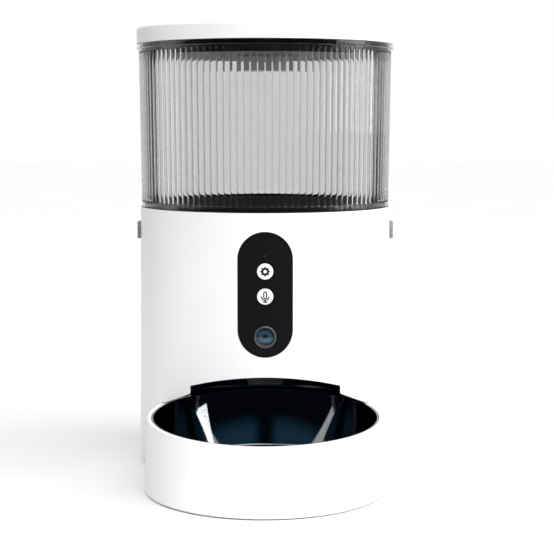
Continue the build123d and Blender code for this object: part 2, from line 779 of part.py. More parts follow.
def heel_centre():
    foot = on_arc(side_centre(), SIDE_ARC_R, SIDE_END)
    end = radians(SIDE_END)
    return (foot[0] - HEEL_ARC_R * cos(end), foot[1] + HEEL_ARC_R * sin(end))


def dish_side(thick):
    """Profile of the dish from its top edge to its floor, moved outwards by thick."""
    side, heel = side_centre(), heel_centre()
    side_r, heel_r = SIDE_ARC_R + thick, HEEL_ARC_R + thick
    top = on_arc(side, side_r, SIDE_START)
    middle = on_arc(side, side_r, (SIDE_START + SIDE_END) / 2)
    foot = on_arc(side, side_r, SIDE_END)
    heel_middle = on_arc(heel, heel_r, (SIDE_END + 90) / 2)
    floor = on_arc(heel, heel_r, 90)
    edges = [
        ThreePointArc(top, middle, foot),
        ThreePointArc(foot, heel_middle, floor),
        Line(floor, (0, floor[1])),
    ]
    return edges, top, floor


def bowl():
    """Deep-drawn steel dish that stands on the seat in the holder, its edge rounded over."""
    inner, inner_top, inner_floor = dish_side(0.0)
    outer, outer_top, outer_floor = dish_side(STEEL)
    middle = on_arc(side_centre(), SIDE_ARC_R + STEEL / 2, SIDE_START)
    crest = (middle[0], middle[1] + STEEL / 2)
    edge = ThreePointArc(inner_top, crest, outer_top)
    axis = Line((0, inner_floor[1]), (0, outer_floor[1]))
    return in_holder(turned(*inner, *outer, edge, axis))


NODES = {
    "housing": housing,
    "base_plate": base_plate,
    "base_screws": base_screws,
    "battery_contacts": battery_contacts,
    "rubber_feet": rubber_feet,
    "mouth_liner": mouth_liner,
    "chute": chute,
    "food_sensors": food_sensors,
    "dispenser_drum": dispenser_drum,
    "drum_cover": drum_cover,
    "drum_screws": drum_screws,
    "rotor_bearing": rotor_bearing,
    "gearmotor": gearmotor,
    "motor_bracket": motor_bracket,
    "motor_screws": motor_screws,
    "hopper_gasket": hopper_gasket,
    "front_panel": front_panel,
    "button_board": button_board,
    "tact_switches": tact_switches,
    "status_light": status_light,
    "microphone": microphone,
    "camera_bezel": camera_bezel,
    "camera_window": camera_window,
    "camera_barrel": camera_barrel,
    "camera_lens": camera_lens,
    "camera_sensor": camera_sensor,
    "main_board": main_board,
    "signal_ribbon": signal_ribbon,
    "speaker": speaker,
    "power_jack": power_jack,
    "hopper": hopper,
    "funnel": funnel,
    "lid": lid,
    "lid_liner": lid_liner,
    "lid_seal": lid_seal,
    "desiccant_box": desiccant_box,
    "rotor": rotor,
    "rotor_paddles": rotor_paddles,
    "agitator": agitator,
    "rotor_shaft": rotor_shaft,
    "drive_gear": drive_gear,
    "motor_pinion": motor_pinion,
    "battery_door": battery_door,
    "bowl_holder": bowl_holder,
    "holder_feet": holder_feet,
    "bowl": bowl,
}

for name, make in NODES.items():
    save(name, make())

save("release_button_right", release_button())
save("release_button_left", Rot(Z=180) * release_button())
save("settings_button", push_button(SETTINGS_Z))
save("talk_button", push_button(TALK_Z))
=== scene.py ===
import json
import math

import bmesh
import bpy
from bpy.props import FloatProperty, FloatVectorProperty, IntProperty, PointerProperty
from mathutils import Euler, Matrix, Vector


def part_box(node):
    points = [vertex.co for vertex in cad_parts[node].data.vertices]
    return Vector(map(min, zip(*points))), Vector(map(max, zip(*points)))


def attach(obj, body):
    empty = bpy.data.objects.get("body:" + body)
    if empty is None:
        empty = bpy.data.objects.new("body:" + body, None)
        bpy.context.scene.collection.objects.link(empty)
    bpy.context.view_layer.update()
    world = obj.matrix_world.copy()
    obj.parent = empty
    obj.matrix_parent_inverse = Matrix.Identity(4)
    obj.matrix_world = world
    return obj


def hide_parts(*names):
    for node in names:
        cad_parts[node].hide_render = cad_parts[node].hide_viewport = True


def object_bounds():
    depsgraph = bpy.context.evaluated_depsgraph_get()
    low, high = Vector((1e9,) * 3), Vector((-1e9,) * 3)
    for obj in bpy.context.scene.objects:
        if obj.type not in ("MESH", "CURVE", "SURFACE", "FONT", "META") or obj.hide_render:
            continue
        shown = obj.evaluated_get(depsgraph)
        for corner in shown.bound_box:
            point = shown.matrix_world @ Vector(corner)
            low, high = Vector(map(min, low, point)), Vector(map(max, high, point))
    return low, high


bl_info = {
    "name": "Automatic pet feeder",
    "version": (1, 0, 0),
    "blender": (4, 5, 0),
    "location": "3D View > Sidebar > Feeder",
    "description": "Builds the looks of a tower pet feeder round its working model",
    "category": "Object",
}

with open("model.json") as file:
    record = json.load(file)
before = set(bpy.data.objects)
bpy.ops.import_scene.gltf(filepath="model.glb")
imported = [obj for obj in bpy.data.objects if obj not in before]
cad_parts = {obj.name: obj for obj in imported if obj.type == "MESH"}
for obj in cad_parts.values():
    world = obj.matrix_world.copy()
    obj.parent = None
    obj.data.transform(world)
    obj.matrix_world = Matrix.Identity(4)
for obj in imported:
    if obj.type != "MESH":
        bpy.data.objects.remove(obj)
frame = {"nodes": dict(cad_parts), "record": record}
CAD_LOW, CAD_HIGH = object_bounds()

MM = 0.001
ROUND = 256                      # facets round a large circle
SMALL_ROUND = 96                 # facets round a lens
FACETS_PER_FLUTE = 12
SHARP = math.radians(38)         # edges sharper than this stay crisp
WELD = 1e-7                      # points nearer than this are one

# Places worked out from the working model
LID_LOW, LID_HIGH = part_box("lid")
AXIS = Vector(((LID_LOW.x + LID_HIGH.x) / 2, (LID_LOW.y + LID_HIGH.y) / 2, 0))
HOLDER_LOW, HOLDER_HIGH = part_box("bowl_holder")
BOWL_AXIS = Vector((AXIS.x, (HOLDER_LOW.y + HOLDER_HIGH.y) / 2, 0))
RIM_HEIGHT = 52.9 * MM           # rim of the holder at its own axis
RIM_TILT = math.radians(2.98)    # the rim rises towards the tower
HOPPER_LOW, HOPPER_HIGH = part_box("hopper")


# ---------------------------------------------------------------- settings

class FeederShell(bpy.types.PropertyGroup):
    """Colours of the moulded shells"""
    white: FloatVectorProperty(
        name="Shell white", description="Colour of the housing, lid and bowl holder",
        subtype="COLOR", size=3, min=0, max=1, default=(0.80, 0.80, 0.80))
    panel: FloatVectorProperty(
        name="Panel black", description="Colour of the front panel",
        subtype="COLOR", size=3, min=0, max=1, default=(0.013, 0.013, 0.014))


class FeederHopper(bpy.types.PropertyGroup):
    """Fluting of the clear hopper"""
    flutes: IntProperty(
        name="Flutes", description="Number of upright flutes round the hopper",
        min=24, max=240, default=120)
    depth: FloatProperty(
        name="Flute depth", description="How deep the grooves between the flutes are",
        subtype="DISTANCE", unit="LENGTH", min=0, max=0.0015, default=0.9 * MM)
    smoke: FloatVectorProperty(
        name="Smoke tint", description="Tint of the clear plastic",
        subtype="COLOR", size=3, min=0, max=1, default=(0.90, 0.90, 0.90))


class FeederBowl(bpy.types.PropertyGroup):
    """Finish of the dish"""
    tint: FloatVectorProperty(
        name="Steel tint", description="Mirror colour of the dark coated steel",
        subtype="COLOR", size=3, min=0, max=1, default=(0.26, 0.27, 0.285))


class FeederStage(bpy.types.PropertyGroup):
    """Camera and studio"""
    lens: FloatProperty(
        name="Lens", description="Focal length of the camera",
        subtype="DISTANCE_CAMERA", unit="CAMERA", min=20, max=200, default=93.86)
    sky: FloatProperty(
        name="Studio light", description="Brightness of the studio all round",
        min=0, max=4, default=1.0)
    key: FloatProperty(
        name="Key light", description="Power of the soft light at the front right",
        subtype="POWER", unit="POWER", min=0, max=200, default=14.0)
    overhead: FloatProperty(
        name="Overhead light", description="Strength of the broad light from above the front",
        min=0, max=20, default=1.1)
    front: FloatProperty(
        name="Front light", description="Strength of the broad light on the pale shells",
        min=0, max=20, default=2.4)


# ---------------------------------------------------------------- helpers

def linear(colour):
    """An sRGB hex string as linear red, green, blue and alpha."""
    parts = [int(colour[i:i + 2], 16) / 255 for i in (0, 2, 4)]
    return [c / 12.92 if c <= 0.04045 else ((c + 0.055) / 1.055) ** 2.4 for c in parts] + [1.0]


def add(tree, kind, inputs=None, **settings):
    """Add a node, with its settings, its input values and its links."""
    node = tree.nodes.new(kind)
    for key, value in settings.items():
        setattr(node, key, value)
    for key, value in (inputs or {}).items():
        named = [i for i in node.inputs if i.name == key and i.enabled]
        socket = named[0] if named else node.inputs[key]
        if isinstance(value, bpy.types.NodeSocket):
            tree.links.new(value, socket)
        else:
            socket.default_value = value
    return node


def result(node):
    """The output of a mix node that is in use."""
    return [o for o in node.outputs if o.enabled][0]


def blank(name, **shader):
    """A material with one Principled shader; underscores in names stand for spaces."""
    material = bpy.data.materials.new(name)
    material.use_nodes = True
    tree = material.node_tree
    tree.nodes.clear()
    bsdf = add(tree, "ShaderNodeBsdfPrincipled", {k.replace("_", " "): v for k, v in shader.items()})
    add(tree, "ShaderNodeOutputMaterial", {"Surface": bsdf.outputs["BSDF"]})
    return material, tree, bsdf


def per_mm(size):
    """Texture scale whose features are about this many millimetres across."""
    return 1.0 / (size * MM)


def grain(tree, bsdf, size, rough, spread, height, detail=2.0):
    """Fine surface texture: noise of that size moves the roughness a little and raises a bump."""
    place = add(tree, "ShaderNodeTexCoord")
    noise = add(tree, "ShaderNodeTexNoise",
                {"Vector": place.outputs["Object"], "Scale": per_mm(size), "Detail": detail})
    span = add(tree, "ShaderNodeMapRange",
               {"Value": noise.outputs["Fac"], "To Min": rough - spread, "To Max": rough + spread})
    tree.links.new(span.outputs["Result"], bsdf.inputs["Roughness"])
    bump = add(tree, "ShaderNodeBump",
               {"Height": noise.outputs["Fac"], "Strength": 0.35, "Distance": height * MM})
    tree.links.new(bump.outputs["Normal"], bsdf.inputs["Normal"])
    return place


def smooth_step(tree, value, low, high):
    """0 below low, 1 above high, with a smooth rise between them."""
    step = add(tree, "ShaderNodeMapRange", {"Value": value, "From Min": low, "From Max": high},
               interpolation_type="SMOOTHSTEP")
    return step.outputs["Result"]


def mottle(tree, bsdf, place, size, low, high):
    """Slow colour variation between two close tones."""
    noise = add(tree, "ShaderNodeTexNoise",
                {"Vector": place.outputs["Object"], "Scale": per_mm(size), "Detail": 1.0})
    ramp = add(tree, "ShaderNodeValToRGB", {"Fac": noise.outputs["Fac"]})
    ramp.color_ramp.elements[0].position = 0.35
    ramp.color_ramp.elements[0].color = low
    ramp.color_ramp.elements[1].position = 0.65
    ramp.color_ramp.elements[1].color = high
    tree.links.new(ramp.outputs["Color"], bsdf.inputs["Base Color"])


# ---------------------------------------------------------------- materials

def satin_white_abs():
    """Injection-moulded ABS with a fine spark-eroded texture: clean white with a broad soft sheen."""
    tone = list(bpy.context.scene.feeder_shell.white)
    material, tree, bsdf = blank("satin_white_abs", IOR=1.52)
    place = grain(tree, bsdf, 0.6, 0.36, 0.04, 0.012)
    mottle(tree, bsdf, place, 40, [c * 0.985 for c in tone] + [1.0], tone + [1.0])
    return material


def black_acrylic():
    """Back-painted acrylic, polished: deep black with crisp reflections."""
    tone = list(bpy.context.scene.feeder_shell.panel)
    material, tree, bsdf = blank(
        "polished_black_acrylic", Base_Color=tone + [1.0], IOR=1.42, Coat_Weight=0.3, Coat_Roughness=0.03)
    grain(tree, bsdf, 6.0, 0.10, 0.03, 0.004)
    return material


def black_abs():
    """Plain moulded black ABS inside the machine: dull charcoal with fine texture."""
    material, tree, bsdf = blank("moulded_black_abs", IOR=1.52)
    place = grain(tree, bsdf, 0.8, 0.48, 0.06, 0.02)
    mottle(tree, bsdf, place, 25, linear("17181A"), linear("1E1F22"))
    return material


def navy_abs_painted_reflection():
    """Polished blue-black ABS that lines the mouth: dark, with soft blue-grey reflections, and a navy base
    colour brightened as a painted blue reflection.
    """
    material, tree, bsdf = blank("blue_black_abs_painted_navy_reflection", IOR=1.5)
    place = grain(tree, bsdf, 3.0, 0.16, 0.05, 0.01)
    # navy base colour: partly the liner's own blue-black, partly a painted reflection, brightened to stand
    # in for the blue light on the mouth's band
    mottle(tree, bsdf, place, 18, linear("163450"), linear("1D4060"))
    return material


def grey_abs():
    """Moulded mid-grey ABS: even, with a light satin."""
    material, tree, bsdf = blank("moulded_grey_abs", IOR=1.52)
    place = grain(tree, bsdf, 0.6, 0.42, 0.05, 0.015)
    mottle(tree, bsdf, place, 20, linear("6A6B6D"), linear("757678"))
    return material


def smoke_styrene():
    """Clear moulded styrene with a touch of smoke: bends what is behind it at every flute."""
    tone = list(bpy.context.scene.feeder_hopper.smoke) + [1.0]
    material, tree, bsdf = blank(
        "smoke_clear_styrene", Base_Color=tone, IOR=1.45, Transmission_Weight=1.0)
    grain(tree, bsdf, 9.0, 0.02, 0.015, 0.002)
    absorb = add(tree, "ShaderNodeVolumeAbsorption", {"Color": (0.3, 0.3, 0.3, 1), "Density": 30.0})
    tree.links.new(absorb.outputs["Volume"], tree.nodes["Material Output"].inputs["Volume"])
    return material


def frosted_styrene():
    """Clear styrene with a spark-eroded face: a faint milky outline seen through the hopper."""
    material, tree, bsdf = blank(
        "frosted_clear_styrene", Base_Color=[0.95, 0.95, 0.95, 1.0], IOR=1.45, Transmission_Weight=0.7)
    grain(tree, bsdf, 0.8, 0.4, 0.06, 0.01)
    return material


def dark_steel():
    """Stainless steel with a dark vapour coating, mirror polished: black with crisp reflections."""
    tone = list(bpy.context.scene.feeder_bowl.tint)
    material, tree, bsdf = blank("dark_mirror_steel", Metallic=1.0)
    place = grain(tree, bsdf, 6.0, 0.03, 0.015, 0.0002, detail=3.0)
    mottle(tree, bsdf, place, 1.2, [c * 0.85 for c in tone] + [1.0], [c * 1.15 for c in tone] + [1.0])
    return material


def plated_steel():
    """Zinc-plated steel: pale grey metal, slightly cloudy."""
    material, tree, bsdf = blank("zinc_plated_steel", Metallic=1.0)
    place = grain(tree, bsdf, 0.7, 0.30, 0.08, 0.01)
    mottle(tree, bsdf, place, 5, linear("B9BABD"), linear("CBCCCF"))
    return material


def turned_brass():
    """Machined brass: warm yellow metal with fine turning marks."""
    material, tree, bsdf = blank("turned_brass", Metallic=1.0)
    place = grain(tree, bsdf, 0.4, 0.26, 0.06, 0.01)
    mottle(tree, bsdf, place, 4, linear("C59A4A"), linear("D8B160"))
    return material


def matt_rubber():
    """Moulded rubber: soft black without shine."""
    material, tree, bsdf = blank("moulded_black_rubber", IOR=1.52)
    place = grain(tree, bsdf, 0.5, 0.78, 0.06, 0.03)
    mottle(tree, bsdf, place, 6, linear("161616"), linear("202020"))
    return material


def milky_silicone():
    """Translucent silicone: milky, with light passing into it."""
    material, tree, bsdf = blank(
        "milky_silicone", IOR=1.41, Subsurface_Weight=0.4, Subsurface_Scale=2 * MM)
    place = grain(tree, bsdf, 0.6, 0.5, 0.05, 0.015)
    mottle(tree, bsdf, place, 8, linear("D6D4CC"), linear("E2E0D9"))
    return material


def black_silicone():
    """Moulded black silicone seal: dark with a faint greasy sheen."""
    material, tree, bsdf = blank("moulded_black_silicone", IOR=1.41)
    place = grain(tree, bsdf, 0.6, 0.5, 0.06, 0.015)
    mottle(tree, bsdf, place, 8, linear("121214"), linear("1B1B1E"))
    return material


def circuit_board():
    """Glass-epoxy board under green solder mask, with its weave just showing."""
    material, tree, bsdf = blank("green_solder_mask", IOR=1.5)
    place = grain(tree, bsdf, 1.0, 0.3, 0.05, 0.01)
    mottle(tree, bsdf, place, 2, linear("0C4A24"), linear("12602F"))
    return material


def anodised_ring():
    """Anodised aluminium, bead blasted: even grey metal with a soft glow."""
    material, tree, bsdf = blank("anodised_aluminium", Metallic=1.0)
    place = grain(tree, bsdf, 0.25, 0.30, 0.05, 0.005)
    mottle(tree, bsdf, place, 3, linear("7A7E83"), linear("898D92"))
    return material


def clear_glass():
    """Polished glass cover: almost invisible apart from its reflections."""
    material, tree, bsdf = blank(
        "polished_cover_glass", Base_Color=[0.93, 0.97, 1.0, 1.0], IOR=1.5, Transmission_Weight=1.0)
    grain(tree, bsdf, 4.0, 0.015, 0.01, 0.002)
    return material


def coated_glass_painted_reflection():
    """Glass with an anti-reflection coating over a black throat: dark, with teal-blue reflections tinted by
    the coating and a teal base colour that is a painted reflection.
    """
    material, tree, bsdf = blank(
        "coated_lens_glass_painted_teal", IOR=1.7, Coat_Weight=1.0, Coat_Roughness=0.02,
        Specular_Tint=linear("4FB4E0"))
    place = grain(tree, bsdf, 2.5, 0.07, 0.03, 0.002)
    # painted reflection: the teal base colour is brightened to stand in for the coating's cyan reflections
    mottle(tree, bsdf, place, 5.0, linear("10384A"), linear("26637F"))
    return material


def white_gloss_abs():
    """Polished white ABS: the push buttons' caps."""
    material, tree, bsdf = blank("polished_white_abs", IOR=1.52)
    place = grain(tree, bsdf, 2.0, 0.22, 0.04, 0.006)
    mottle(tree, bsdf, place, 6, linear("F2F2F2"), linear("F8F8F8"))
    return material


def smoked_acrylic():
    """Smoked acrylic light pipe: a dark pinhole while its lamp is off."""
    material, tree, bsdf = blank(
        "smoked_acrylic", Base_Color=[0.05, 0.05, 0.06, 1.0], IOR=1.49, Transmission_Weight=0.6)
    grain(tree, bsdf, 0.5, 0.35, 0.08, 0.006)
    return material


def acetal():
    """Natural acetal: ivory, slightly waxy."""
    material, tree, bsdf = blank("natural_acetal", IOR=1.48, Subsurface_Weight=0.1, Subsurface_Scale=MM)
    place = grain(tree, bsdf, 0.7, 0.4, 0.05, 0.012)
    mottle(tree, bsdf, place, 10, linear("E3DFD2"), linear("ECE9DE"))
    return material


def printed_ink():
    """Screen-printed black ink: matt and a little uneven."""
    material, tree, bsdf = blank("screen_printed_ink", IOR=1.5)
    place = grain(tree, bsdf, 0.3, 0.6, 0.08, 0.004)
    mottle(tree, bsdf, place, 2, linear("0C0C0E"), linear("141416"))
    return material


def studio_floor():
    """Matt white laminate sheet: takes a soft shadow and hardly reflects."""
    material, tree, bsdf = blank("matt_white_laminate", IOR=1.45)
    place = grain(tree, bsdf, 3.0, 0.72, 0.05, 0.01)
    mottle(tree, bsdf, place, 200, linear("F9F9F9"), linear("FBFBFB"))
    return material


FINISHES = {
    "white_shell": satin_white_abs,
    "black_gloss": black_acrylic,
    "dark_plastic": black_abs,
    "navy_plastic": navy_abs_painted_reflection,
    "grey_plastic": grey_abs,
    "clear_smoke": smoke_styrene,
    "frosted_clear": frosted_styrene,
    "bowl_steel": dark_steel,
    "steel": plated_steel,
    "brass": turned_brass,
    "rubber": matt_rubber,
    "silicone": milky_silicone,
    "seal": black_silicone,
    "board": circuit_board,
    "lens_glass": clear_glass,
    "ring_metal": anodised_ring,
    "white_button": white_gloss_abs,
    "light_pipe": smoked_acrylic,
    "gear_plastic": acetal,
}
SLOT_OF = {part["node"]: part["material_slot"] for part in frame["record"]["subparts"]}
FINISH_OF = {**SLOT_OF, "desiccant_box": "frosted_clear"}
made = {}


def finish_for(name):
    """The material of a finish, made once."""
    if name not in made:
        made[name] = FINISHES[name]()
    return made[name]


def paint(node):
    """Give a working-model node its finish, which is named like its slot but for the few above."""
    mesh = frame["nodes"][node].data
    mesh.materials.clear()
    mesh.materials.append(finish_for(FINISH_OF[node]))


# ---------------------------------------------------------------- mesh tools

def place_mesh(name, bm, material, body, stands_for=()):
    """Turn a bmesh into a piece that rides on a body."""
    bmesh.ops.remove_doubles(bm, verts=bm.verts, dist=WELD)
    bmesh.ops.recalc_face_normals(bm, faces=bm.faces)
    mesh = bpy.data.meshes.new(name)
    bm.to_mesh(mesh)
    bm.free()
    piece = bpy.data.objects.new(name, mesh)
    bpy.context.scene.collection.objects.link(piece)
    mesh.materials.append(material)
    mesh.shade_smooth()
    mesh.set_sharp_from_angle(angle=SHARP)
    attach(piece, body)
    if stands_for:
        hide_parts(*stands_for)
    return piece


def arc(centre, radius, start, end, count):
    """Points on an arc of a profile, angles in degrees."""
    turn = [math.radians(start + (end - start) * i / count) for i in range(count + 1)]
    return [(centre[0] + radius * math.cos(a), centre[1] + radius * math.sin(a)) for a in turn]


def lathe(profile, facets=ROUND, radius_at=None, matrix=None):
    """Revolve a closed profile of (radius, height); radius_at may change the radius by angle."""
    bm = bmesh.new()
    rings = []
    for r, z in profile:
        if r < WELD:
            row = [bm.verts.new((0, 0, z))] * facets
        else:
            row = []
            for i in range(facets):
                angle = 2 * math.pi * i / facets
                radius = radius_at(r, z, angle) if radius_at else r
                row.append(bm.verts.new((radius * math.cos(angle), radius * math.sin(angle), z)))
        rings.append(row)
    for k in range(len(rings)):
        a, b = rings[k], rings[(k + 1) % len(rings)]
        for i in range(facets):
            j = (i + 1) % facets
            corners = list(dict.fromkeys([a[i], a[j], b[j], b[i]]))
            if len(corners) > 2:
                bm.faces.new(corners)
    if matrix:
        bmesh.ops.transform(bm, matrix=matrix, verts=bm.verts)
    return bm


def facing_front(centre):
    """Matrix that lays something drawn flat in X and Y against a front face, facing -Y."""
    return Matrix.Translation(centre) @ Matrix.Rotation(math.radians(90), 4, "X")


def flat_shape(loops, thickness):
    """A flat plate with holes from closed loops of points, drawn in X and Y, as a bmesh."""
    curve = bpy.data.curves.new("outline", "CURVE")
    curve.dimensions = "2D"
    curve.fill_mode = "BOTH"
    curve.extrude = thickness / 2
    for loop in loops:
        spline = curve.splines.new("POLY")
        spline.points.add(len(loop) - 1)
        for point, (x, y) in zip(spline.points, loop):
            point.co = (x, y, 0, 1)
        spline.use_cyclic_u = True
    holder = bpy.data.objects.new("outline", curve)
    bpy.context.scene.collection.objects.link(holder)
    mesh = bpy.data.meshes.new_from_object(holder)
    bm = bmesh.new()
    bm.from_mesh(mesh)
    bpy.data.objects.remove(holder)
    bpy.data.curves.remove(curve)
    bpy.data.meshes.remove(mesh)
    return bm


def merge(parts):
    """Join several bmeshes into one."""
    whole = bmesh.new()
    for part in parts:
        mesh = bpy.data.meshes.new("part")
        part.to_mesh(mesh)
        part.free()
        whole.from_mesh(mesh)
        bpy.data.meshes.remove(mesh)
    return whole


def circle(radius, count):
    """Points round a full circle, the first not repeated."""
    return arc((0, 0), radius, 0, 360 - 360 / count, count - 1)


def band(path, width):
    """A closed loop round an open path, as wide as the stroke of a drawn line."""
    left, right = [], []
    for i, point in enumerate(path):
        before = Vector(path[max(i - 1, 0)])
        after = Vector(path[min(i + 1, len(path) - 1)])
        along = (after - before).normalized()
        side = Vector((-along.y, along.x)) * width / 2
        left.append(tuple(Vector(point) + side))
        right.append(tuple(Vector(point) - side))
    return left + right[::-1]


# ---------------------------------------------------------------- shells

class FEEDER_OT_shells(bpy.types.Operator):
    """Give every node of the working model its finish"""
    bl_idname = "feeder.shells"
    bl_label = "Finish the working parts"

    def execute(self, context):
        for node in frame["nodes"]:
            paint(node)
        return {"FINISHED"}


# ---------------------------------------------------------------- hopper

class FEEDER_OT_hopper(bpy.types.Operator):
    """Build the clear hopper with its upright flutes"""
    bl_idname = "feeder.hopper"
    bl_label = "Build the hopper"

    def execute(self, context):
        settings = context.scene.feeder_hopper
        foot, top = HOPPER_LOW.z, HOPPER_HIGH.z
        flange_r = (HOPPER_HIGH.x - HOPPER_LOW.x) / 2
        flange_thick, corner = 4.0 * MM, 0.6 * MM
        flange_z = top - flange_thick
        foot_r, neck_r, wall = 94.1 * MM, 95.5 * MM, 2.4 * MM
        start, stop = foot + 3.0 * MM, flange_z - 1.6 * MM    # where the flutes begin and end
        fade = 2.2 * MM                                       # height over which they run out

        def wall_r(z):
            return foot_r + (neck_r - foot_r) * (z - foot) / (flange_z - foot)

        def fluted(r, z, angle):
            """Rounded ribs with sharp grooves between them, running out at both ends."""
            if r < wall_r(z) - 0.5 * wall or z > stop or z < start:
                return r
            ends = min(1.0, (z - start) / fade, (stop - z) / fade)
            depth = settings.depth * math.sqrt(max(0.0, 1 - (1 - ends) ** 2))
            across = angle * settings.flutes / (2 * math.pi) % 1.0 * 2 - 1
            return r - depth * (1 - math.sqrt(1 - across ** 2))

        heights = [foot, start]
        heights += [start + fade * t for t in (0.12, 0.3, 0.6, 1.0)]
        span = stop - start - 2 * fade
        heights += [start + fade + span * t for t in (0.25, 0.5, 0.75)]
        heights += [stop - fade * t for t in (1.0, 0.6, 0.3, 0.12)]
        heights += [stop]
        outer = [(wall_r(z), z) for z in heights]
        outer += [(neck_r, flange_z)]
        outer += arc((flange_r - corner, flange_z + corner), corner, -90, 0, 4)
        outer += arc((flange_r - corner, top - corner), corner, 0, 90, 4)
        inner = [(neck_r - wall, top), (foot_r - wall, foot)]
        bm = lathe(outer + inner, facets=settings.flutes * FACETS_PER_FLUTE, radius_at=fluted,
                   matrix=Matrix.Translation(AXIS))
        place_mesh("hopper_tank", bm, finish_for("clear_smoke"), "hopper", ["hopper"])
        return {"FINISHED"}


# ---------------------------------------------------------------- bowl

class FEEDER_OT_bowl(bpy.types.Operator):
    """Build the deep-drawn steel dish with its rounded edge"""
    bl_idname = "feeder.bowl"
    bl_label = "Build the bowl"

    def execute(self, context):
        steel = 1.0 * MM
        low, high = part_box("bowl")
        top = ((high.x - low.x) / 2 - steel, -0.6 * MM)    # inner edge, just below the holder's rim
        side_r, heel_r = 231.6 * MM, 8.0 * MM              # slow curve of the side, quick one to the floor
        lean_top, lean_foot = 10, 20                       # degrees the side leans from upright
        start, end = math.radians(lean_top), math.radians(lean_foot)
        side = (top[0] - side_r * math.cos(start), top[1] + side_r * math.sin(start))
        foot = (side[0] + side_r * math.cos(end), side[1] - side_r * math.sin(end))
        heel = (foot[0] - heel_r * math.cos(end), foot[1] + heel_r * math.sin(end))

        def wall(thick):
            """From the floor's middle out and up to the edge, moved outwards by thick."""
            floor = heel[1] - heel_r - thick
            points = [(0.0, floor), (heel[0] / 2, floor)]
            points += arc(heel, heel_r + thick, -90, -lean_foot, 12)
            return points + arc(side, side_r + thick, -lean_foot, -lean_top, 32)[1:]

        inner, outer = wall(0.0), wall(steel)
        edge = arc(((inner[-1][0] + outer[-1][0]) / 2, inner[-1][1]), steel / 2, 180, 0, 8)[1:-1]
        tilt = Matrix.Translation(BOWL_AXIS + Vector((0, 0, RIM_HEIGHT))) @ Matrix.Rotation(RIM_TILT, 4, "X")
        bm = lathe(inner + edge + outer[::-1], matrix=tilt)
        place_mesh("bowl_dish", bm, finish_for("bowl_steel"), "bowl", ["bowl"])
        return {"FINISHED"}


# ---------------------------------------------------------------- front panel

INK_PROUD = 0.03 * MM            # the ink's middle stands this far before the button's face
INK_THICK = 0.16 * MM


class FEEDER_OT_icons(bpy.types.Operator):
    """Print the gear and microphone icons on the push buttons"""
    bl_idname = "feeder.icons"
    bl_label = "Print the button icons"

    def execute(self, context):
        ink = printed_ink()
        for node, shape in (("settings_button", gear_icon), ("talk_button", microphone_icon)):
            low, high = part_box(node)
            centre = (low + high) / 2
            centre.y = low.y - INK_PROUD
            bm = shape(INK_THICK)
            bmesh.ops.transform(bm, matrix=facing_front(centre), verts=bm.verts)
            place_mesh(node + "_icon", bm, ink, node)
        return {"FINISHED"}


def gear_icon(thickness):
    """A cog with eight rounded teeth and a round hole."""
    teeth, tip, root, hole = 8, 3.55 * MM, 2.75 * MM, 1.2 * MM
    pitch, tooth_foot, tooth_tip = 360 / teeth, 14.5, 8.5    # degrees; half widths of a tooth
    outline = []
    for k in range(teeth):
        middle = pitch * k
        outline += arc((0, 0), root, middle - pitch / 2, middle - tooth_foot, 3)
        outline += arc((0, 0), tip, middle - tooth_tip, middle + tooth_tip, 4)
        outline += arc((0, 0), root, middle + tooth_foot, middle + pitch / 2 - 0.5, 3)
    return flat_shape([outline, circle(hole, 48)], thickness)


def microphone_icon(thickness):
    """A drawn microphone: capsule outline, cradle, stem and foot."""
    half, reach, line = 1.45 * MM, 1.35 * MM, 0.9 * MM
    lift = 1.0 * MM

    def capsule(r, long):
        return arc((0, lift + long), r, 0, 180, 16) + arc((0, lift - long), r, 180, 360, 16)

    parts = [flat_shape([capsule(half, reach), capsule(half - line, reach)], thickness)]
    cradle = arc((0, lift - 0.8 * MM), 2.75 * MM, 180, 360, 24)
    parts.append(flat_shape([band(cradle, line)], thickness))
    foot = lift - 4.9 * MM
    parts.append(flat_shape([band([(0, lift - 3.4 * MM), (0, foot)], line)], thickness))
    parts.append(flat_shape([band([(-1.6 * MM, foot), (1.6 * MM, foot)], line)], thickness))
    return merge(parts)


class FEEDER_OT_camera_eye(bpy.types.Operator):
    """Build the camera's coated lens, its rings and its pupil behind the cover glass"""
    bl_idname = "feeder.camera_eye"
    bl_label = "Build the camera's lens"

    def execute(self, context):
        low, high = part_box("camera_bezel")
        centre = (low + high) / 2
        centre.y = low.y
        front = facing_front(centre)
        lens_r, lens_rise, sunk = 5.6 * MM, 0.9 * MM, 0.75 * MM

        glass = [(r, z - sunk) for r, z in domed(lens_r, lens_rise, -1.6 * MM)]
        place_mesh("camera_coated_lens", lathe(glass, SMALL_ROUND, matrix=front), coated_glass_painted_reflection(),
                   "base", ["camera_window"])

        edge_r, back = 6.8 * MM, -2.0 * MM
        surround = [(edge_r, -0.25 * MM), (edge_r, back), (lens_r, back), (lens_r, -1.2 * MM)]
        place_mesh("camera_surround", lathe(surround, SMALL_ROUND, matrix=front),
                   finish_for("dark_plastic"), "base")

        rings = []
        for r in (4.4 * MM, 3.5 * MM, 2.7 * MM):
            z = sag(r, lens_r, lens_rise) - sunk + 0.03 * MM
            rings.append(lathe(arc((r, z), 0.13 * MM, 0, 330, 11), SMALL_ROUND, matrix=front))
        place_mesh("camera_lens_rings", merge(rings), finish_for("grey_plastic"), "base")

        pupil = [(r, z - 0.62 * MM) for r, z in domed(2.0 * MM, 0.5 * MM, -0.6 * MM)]
        place_mesh("camera_pupil", lathe(pupil, 64, matrix=front), finish_for("black_gloss"),
                   "base", ["camera_lens"])
        return {"FINISHED"}


def sag(r, outer, rise):
    """How far a spherical face of that radius and rise has fallen away at radius r."""
    radius = (outer ** 2 + rise ** 2) / (2 * rise)
    return math.sqrt(radius ** 2 - r ** 2) - radius


def domed(outer, rise, back, steps=14):
    """Profile of a lens element: spherical front of that rise, flat back."""
    radii = [outer * i / steps for i in range(steps + 1)]
    return [(r, sag(r, outer, rise)) for r in radii] + [(outer, back), (0.0, back)]


# ---------------------------------------------------------------- stage

